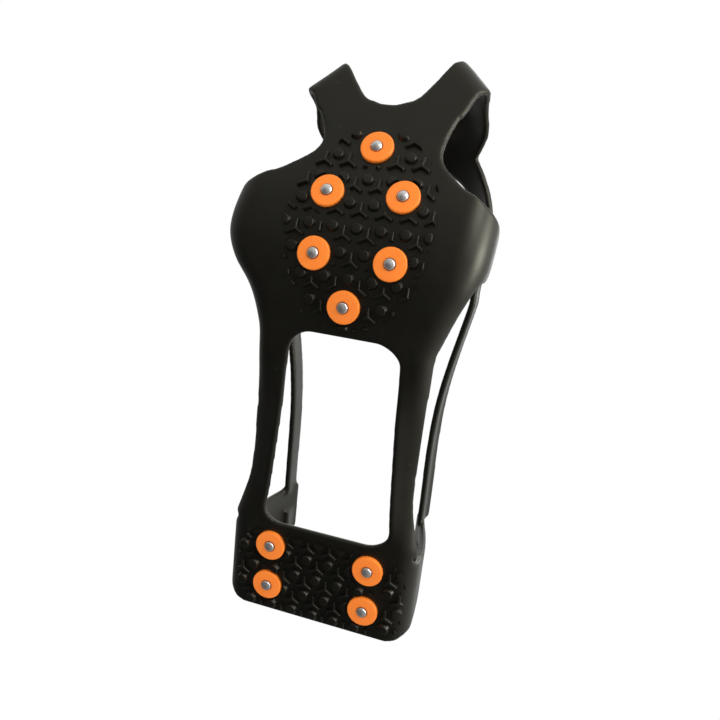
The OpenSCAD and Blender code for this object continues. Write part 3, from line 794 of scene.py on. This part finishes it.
# turns a profile of (radius, height) points in mm: a ring is added, then extruded and scaled from point to point
def turned(profile, sides):
    deselect()
    radius, height = profile[0]
    bpy.ops.mesh.primitive_circle_add(vertices=sides, radius=radius * mm, location=(0, 0, 0))
    piece = bpy.context.object
    setPoints(piece, meshPoints(piece) + (0, 0, height * mm))
    bpy.ops.object.mode_set(mode="EDIT")
    bpy.ops.mesh.select_all(action="SELECT")
    bpy.ops.mesh.edge_face_add()
    for nextRadius, nextHeight in profile[1:]:
        bpy.ops.mesh.extrude_region_move(TRANSFORM_OT_translate={"value": (0, 0, (nextHeight - height) * mm)})
        scale = nextRadius / radius
        bpy.ops.transform.resize(value=(scale, scale, 1))
        radius, height = nextRadius, nextHeight
    bpy.ops.mesh.select_all(action="SELECT")
    bpy.ops.mesh.normals_make_consistent(inside=False)
    bpy.ops.object.mode_set(mode="OBJECT")
    return piece


# points of a profile round an edge, from one turn to another in degrees
def roundEdge(radius, height, r, start, end, steps=6):
    turns = [math.radians(mix(start, end, i / steps)) for i in range(steps + 1)]
    return [(radius + r * math.cos(a), height + r * math.sin(a)) for a in turns]


def copyTo(model, name, x, s, body, node, slotName, *materials):
    piece = copyOf(model, onSole(x, s))
    piece.name = piece.data.name = name
    paint(piece, *materials)
    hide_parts(node)
    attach(piece, body)


face = -disc["height"]
discModel = turned(
    [(disc["radius"] - disc["footEdge"], disc["footEdge"]), (disc["radius"], 0)]
    + roundEdge(disc["radius"] - disc["edge"], face + disc["edge"], disc["edge"], 0, -90)
    + [(disc["bore"] + disc["boreEdge"], face), (disc["bore"], face + disc["boreEdge"]),
       (disc["bore"], face + disc["boreDepth"])],
    disc["sides"])
tipRim = face - stud["height"] + stud["tipDome"]
headFace = thickness - stud["headHeight"]
studModel = turned(
    [(stud["head"] - stud["crown"], thickness + stud["dome"]),
     (stud["head"] - stud["shoulder"], thickness + stud["dome"] * stud["shoulderRise"]),
     (stud["head"], thickness - stud["headEdge"]), (stud["head"], headFace), (stud["shank"], headFace),
     (stud["shank"], face + stud["collarTop"]), (stud["base"], face + stud["collar"]),
     (stud["base"], face - stud["wall"])]
    + roundEdge(stud["base"] - stud["draft"] - stud["edge"], tipRim + stud["edge"], stud["edge"], *stud["edgeTurn"])
    + [(stud["tip"] * k, tipRim - stud["tipDome"] * (1 - stud["domeFall"] * k * k)) for k in stud["domeRings"]],
    stud["sides"])
for side in studModel.data.polygons:
    side.material_index = int(side.center.z < tipRim * mm)
for model in (discModel, studModel):
    pickUp(model)
    bpy.ops.object.shade_smooth_by_angle(angle=math.radians(stud["smooth"]))
for i, (x, s) in enumerate(studPlaces, 1):
    body = "forefoot" if s > front else "heel"
    copyTo(discModel, f"studDisc{i}", x, s, body, f"stud_disc_{i}", "disc", discPlastic)
    copyTo(studModel, f"stud{i}", x, s, body, f"stud_{i}", "stud", studSteel, tipSteel)
for model in (discModel, studModel):
    bpy.data.objects.remove(model)
print("studs and discs set:", len(studPlaces))


# Tread: round pegs in staggered rows with three-armed ribs between them, cut to the outline of each patch

tread = {
    "height": 1.6, "sunk": 0.4, "pitchX": 10.4, "shiftX": 0.3, "rows": 9,
    "pegFoot": 3, "pegEnd": 2.05, "pegSoft": 0.22,
    "ribFoot": 1.7, "ribDraft": 0.36, "ribLength": 4.3, "ribTurns": (90, 210, 330), "ribSoft": 0.25,
    "pegClear": 8.3, "ribClear": 9.5, "pegReach": 7.5,  # cut this far from a stud; pegs within reach of it are left out
    "cutDepth": 12, "smooth": 50,
}
toeStretch = {"from": 45, "to": 63, "by": 1.2, "skew": 0.05}
heelStretch = {"from": -24, "to": -31, "out": 3.4, "ahead": 3.2}
patches = {
    "forefootTread": {
        "middle": 32.7, "pitch": 10.5, "patchMiddle": 34.2, "side": -1, "width": 64, "length": 87.4,
        "corner": None, "body": "forefoot", "node": "forefoot_tread",
    },
    "heelTread": {
        "middle": -129.3, "pitch": 9.3, "patchMiddle": -130.2, "side": -1.2, "width": 80.5, "length": 38.8,
        "corner": 11, "body": "heel", "node": "heel_tread",
    },
}


# softens the edges that lie in the lowest plane, which is the outer face of a lug
def softenFace(lug, soft):
    low = float(meshPoints(lug)[:, 2].min()) + mm / 100
    roundEdges(lug, lambda a, b: a.z < low and b.z < low, soft, segments=3, clamp=True)


# a peg with drafted sides, set a little into the sole
def makePeg():
    deselect()
    tall = tread["height"] + tread["sunk"]
    bpy.ops.mesh.primitive_cone_add(
        vertices=20, radius1=tread["pegEnd"] * mm, radius2=tread["pegFoot"] * mm, depth=tall * mm)
    peg = bpy.context.object
    setPoints(peg, meshPoints(peg) + (0, 0, (tread["sunk"] - tall / 2) * mm))
    softenFace(peg, tread["pegSoft"])
    return peg


# a three-sided core whose sides are drawn out into arms, one of them to the toe; the outer face is then inset and
# drawn out with a draft
def makeRib():
    deselect()
    wide, deep = tread["ribFoot"], tread["sunk"]
    bpy.ops.mesh.primitive_cylinder_add(vertices=3, radius=wide / math.sqrt(3) * mm, depth=deep * mm)
    rib = bpy.context.object
    rib.data.transform(Matrix.Translation((0, 0, deep / 2 * mm)) @ Matrix.Rotation(math.pi, 4, "Z"))
    reach = tread["ribLength"] - wide / math.sqrt(12)
    turns = [math.radians(a) for a in tread["ribTurns"]]
    steps = [(Vector((math.cos(a), math.sin(a), 0)), reach) for a in turns]
    for out, far in steps + [(Vector((0, 0, -1)), None)]:
        bpy.ops.object.mode_set(mode="EDIT")
        bpy.ops.mesh.select_mode(type="FACE")
        bpy.ops.mesh.select_all(action="DESELECT")
        bpy.ops.object.mode_set(mode="OBJECT")
        for side in rib.data.polygons:
            side.select = side.normal.dot(out) > 0.99  # faces that way
        bpy.ops.object.mode_set(mode="EDIT")
        if far:
            bpy.ops.mesh.extrude_region_move(TRANSFORM_OT_translate={"value": out * far * mm})
        else:
            bpy.ops.mesh.inset(thickness=tread["ribDraft"] * mm, depth=tread["height"] * mm)
        bpy.ops.object.mode_set(mode="OBJECT")
    softenFace(rib, tread["ribSoft"])
    return rib


# as worn, the lugs are pulled to the toe ahead of the second row of studs, and outward beside the left heel studs
def stretched(x, s):
    toe = ramp(toeStretch["from"], toeStretch["to"], s) * (toeStretch["by"] - toeStretch["skew"] * x)
    side = ramp(heelStretch["from"], heelStretch["to"], x) * (s < rear)
    return x - heelStretch["out"] * side, s + toe + heelStretch["ahead"] * side


# lugs past the flat of the sole lie round its fold
def roundFold(p):
    x, s, h = p.T
    flat, r = flatWidth(s), curve(foldTable, s)
    turn = np.maximum(0, np.abs(x) - flat) / r
    folded = np.stack([np.sign(x) * (flat + (r - h) * np.sin(turn)), s, r - (r - h) * np.cos(turn)], -1)
    return np.where(column(turn > 0), folded, p)


def copiesAt(model, spots):
    return [copyOf(model, Matrix.Translation((x * mm, s * mm, 0))) for x, s in spots]


# cutter of a patch's outline: an oval, or an oblong with round corners
def patchCutter(patch):
    deselect()
    if patch["corner"] is None:
        bpy.ops.mesh.primitive_cylinder_add(vertices=160, radius=0.5, depth=1)
    else:
        bpy.ops.mesh.primitive_cube_add(size=1)
    cutter = bpy.context.object
    size = (patch["width"], patch["length"], tread["cutDepth"])
    setPoints(cutter, (meshPoints(cutter) * size + (patch["side"], patch["patchMiddle"], 0)) * mm)
    if patch["corner"] is not None:
        roundEdges(cutter, lambda a, b: abs(a.z - b.z) > mm, patch["corner"], segments=12)
    return cutter


def studCutters(spots, clear):
    deselect()
    bpy.ops.mesh.primitive_cylinder_add(vertices=48, radius=clear * mm, depth=tread["cutDepth"] * mm)
    model = bpy.context.object
    cutters = joinAll(copiesAt(model, spots), "studCutters")
    bpy.data.objects.remove(model)
    return cutters


# a rib lies in the middle of each three pegs, two thirds of a row ahead of one
def makeTread(name, patch):
    pegs, ribs = [], []
    steps = range(-tread["rows"], tread["rows"] + 1)
    reachX = patch["width"] / 2 + tread["ribLength"]
    reachS = patch["length"] / 2 + tread["ribLength"]
    for row in steps:
        for step in steps:
            x = (step + 0.5 * (row % 2)) * tread["pitchX"] + tread["shiftX"]
            s = patch["middle"] + row * patch["pitch"]
            for spots, along in ((pegs, s), (ribs, s + patch["pitch"] * 2 / 3)):
                if abs(x) < reachX and abs(along - patch["patchMiddle"]) < reachS:
                    spots.append(stretched(x, along))
    peg, rib = makePeg(), makeRib()
    cutter = patchCutter(patch)
    near = [p for p in studPlaces if (p[1] > front) == (patch["body"] == "forefoot")]
    pegs = [p for p in pegs if min(math.dist(p, q) for q in near) > tread["pegReach"]]
    kinds = []
    for made, clear in ((copiesAt(peg, pegs), tread["pegClear"]), (copiesAt(rib, ribs), tread["ribClear"])):
        kinds.append(joinAll(made, name))
        finishWith(kinds[-1], "BOOLEAN", operation="INTERSECT", object=cutter, solver="EXACT")
        holes = studCutters(near, clear)
        finishWith(kinds[-1], "BOOLEAN", operation="DIFFERENCE", object=holes, solver="EXACT")
        bpy.data.objects.remove(holes)
    lugs = joinAll(kinds, name)
    for used in (peg, rib, cutter):
        bpy.data.objects.remove(used)
    setPoints(lugs, bendPoints(roundFold(meshPoints(lugs) / mm)))
    paint(lugs, rubber)
    pickUp(lugs)
    bpy.ops.object.shade_smooth_by_angle(angle=math.radians(tread["smooth"]))
    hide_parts(patch["node"])
    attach(lugs, patch["body"])
    print(name, "cut:", len(pegs), "pegs and", len(ribs), "ribs before cutting,", len(lugs.data.polygons), "faces")


for name, patch in patches.items():
    makeTread(name, patch)


# Floor, lamps and world

stageSet = {
    "size": 6, "shadeReach": 90, "shadeLevel": 0.35, "world": 0.87,
    "roomSide": (-0.75, -0.5, 0.43), "roomLevel": 0.04, "roomFrom": -1, "roomTo": 0.82,
}
lamps = {
    "keyLamp": {"from": (0.65, 0.6, 0.8), "distance": 0.9, "size": 0.4, "watts": 3},
    "sideLamp": {"from": (1.0, 0, 0.4), "distance": 0.9, "size": 0.35, "watts": 5.2},
    "topLamp": {"from": (0.3, 0.5, -1.0), "distance": 1.1, "size": 1.0, "watts": 4},
}


# a direction given along the photo camera's right, up and back
def fromCamera(parts):
    return (cameraRight * parts[0] + cameraUp * parts[1] + cameraBack * parts[2]).normalized()


# a clear floor, so that the sole is seen from below and the heel where it bends down; from above it keeps the
# object's soft shadow on white
def makeFloor():
    deselect()
    bpy.ops.mesh.primitive_plane_add(size=stageSet["size"], location=(0, 0, 0))
    floor = bpy.context.object
    floor.name = "floor"
    made, tree, shader = newMaterial("clearFloor")
    tree.nodes.remove(shader)
    sky = addNode(tree, "ShaderNodeAmbientOcclusion", {"samples": 16}, {"Distance": stageSet["shadeReach"] * mm})
    shade = addNode(tree, "ShaderNodeMapRange", {}, {"Value": sky.outputs["AO"], "To Min": stageSet["shadeLevel"]})
    facing = addNode(tree, "ShaderNodeNewGeometry")
    level = addNode(tree, "ShaderNodeMath", {"operation": "MAXIMUM"}, {
        0: shade.outputs["Result"], 1: facing.outputs["Backfacing"]})
    clear = addNode(tree, "ShaderNodeBsdfTransparent", {}, {"Color": level.outputs["Value"]})
    tree.links.new(clear.outputs["BSDF"], tree.nodes["Material Output"].inputs["Surface"])
    paint(floor, made)
    floor.visible_shadow = floor.visible_diffuse = floor.visible_glossy = False


def makeLamp(name, lamp):
    middle = (cadLow + cadHigh) / 2
    away = fromCamera(lamp["from"])
    deselect()
    bpy.ops.object.light_add(type="AREA", location=middle + away * lamp["distance"])
    made = bpy.context.object
    made.name = name
    made.rotation_euler = away.to_track_quat("Z", "Y").to_euler()
    made.data.energy = lamp["watts"]
    made.data.size = lamp["size"]


# white where it is seen; a gloss mirrors white that dims towards the lower left of the camera; a plain grey as light
def makeWorld():
    world = bpy.context.scene.world or bpy.data.worlds.new("studio")
    bpy.context.scene.world = world
    world.use_nodes = True
    tree = world.node_tree
    tree.nodes.clear()
    path = addNode(tree, "ShaderNodeLightPath")
    towards = addNode(tree, "ShaderNodeVectorMath", {"operation": "DOT_PRODUCT"}, {
        0: addNode(tree, "ShaderNodeTexCoord").outputs["Generated"], 1: fromCamera(stageSet["roomSide"])})
    mirrored = addNode(tree, "ShaderNodeMapRange", {}, {
        "Value": towards.outputs["Value"], "From Min": stageSet["roomFrom"], "From Max": stageSet["roomTo"],
        "To Min": 1, "To Max": stageSet["roomLevel"]})
    level = stageSet["world"]
    for ray, seen in (("Is Glossy Ray", mirrored.outputs["Result"]), ("Is Transmission Ray", 1), ("Is Camera Ray", 1)):
        mixed = addNode(tree, "ShaderNodeMix", {}, {"Factor": path.outputs[ray], "A": level, "B": seen})
        level = mixed.outputs["Result"]
    back = addNode(tree, "ShaderNodeBackground", {}, {"Color": (1, 1, 1, 1), "Strength": level})
    addNode(tree, "ShaderNodeOutputWorld", {}, {"Surface": back.outputs["Background"]})


makeFloor()
for name, lamp in lamps.items():
    makeLamp(name, lamp)
makeWorld()
bpy.context.scene.view_settings.view_transform = "Standard"
print("stage lit")
